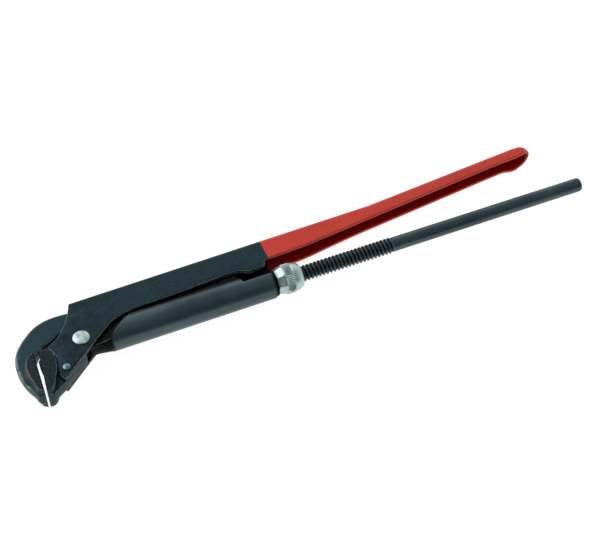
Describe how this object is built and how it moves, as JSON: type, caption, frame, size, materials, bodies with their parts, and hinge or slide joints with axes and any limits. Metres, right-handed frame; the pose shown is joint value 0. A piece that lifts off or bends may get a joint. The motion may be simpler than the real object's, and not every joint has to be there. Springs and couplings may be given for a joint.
{
  "type": "pipe wrench",
  "caption": "Swedish-pattern pipe wrench: toothed hook jaw on a threaded bar handle, fixed jaw in a channel handle, pivoted sleeve and knurled adjusting nut.",
  "frame": {"origin": "centre of the bounding box at its lowest level, with the wrench lying on its side", "axes": "+X along the bar from the jaws to the handle ends, +Y from the bar handle to the channel handle, +Z through the thickness, up"},
  "size_m": [0.4226, 0.0802, 0.0213],
  "materials": {
    "red_enamel": "glossy red stoved enamel on pressed steel",
    "black_phosphate": "oiled black phosphate on forged steel, satin",
    "blued_sheet": "blue-black oxidised sheet, satin",
    "bright_steel": "bright drawn steel, lightly scuffed",
    "zinc_plate": "clear zinc plate on turned and knurled steel",
    "oil_black": "dull oil-blackened steel"
  },
  "bodies": {
    "handle": {"channel_handle": "red_enamel", "fixed_jaw": "black_phosphate", "pivot_rivet": "bright_steel", "jaw_rivet": "black_phosphate"},
    "sleeve": {"sleeve": "blued_sheet", "sleeve_bush": "oil_black", "thrust_washer": "oil_black"},
    "hook": {"hook_jaw": "black_phosphate"},
    "nut": {"adjusting_nut": "zinc_plate", "retaining_ring": "oil_black"}
  },
  "joints": [
    {"name": "handle_pivot", "type": "hinge", "parent": "handle", "child": "sleeve", "pos_m": [-0.16569, -0.00623, 0.01065], "axis": [0, 0, 1], "range_deg": [-8, 1.2]},
    {"name": "nut_turn", "type": "hinge", "parent": "sleeve", "child": "nut", "pos_m": [-0.01969, -0.00683, 0.01065], "axis": [1, 0, 0], "range_deg": [-154, 7195]},
    {"name": "hook_slide", "type": "slide", "parent": "sleeve", "child": "hook", "axis": [-1, 0, 0], "range_m": [-0.0012, 0.056]}
  ],
  "couplings": [
    {"joint": "hook_slide", "follows": "nut_turn", "m_per_rad": 0.00044563}
  ]
}
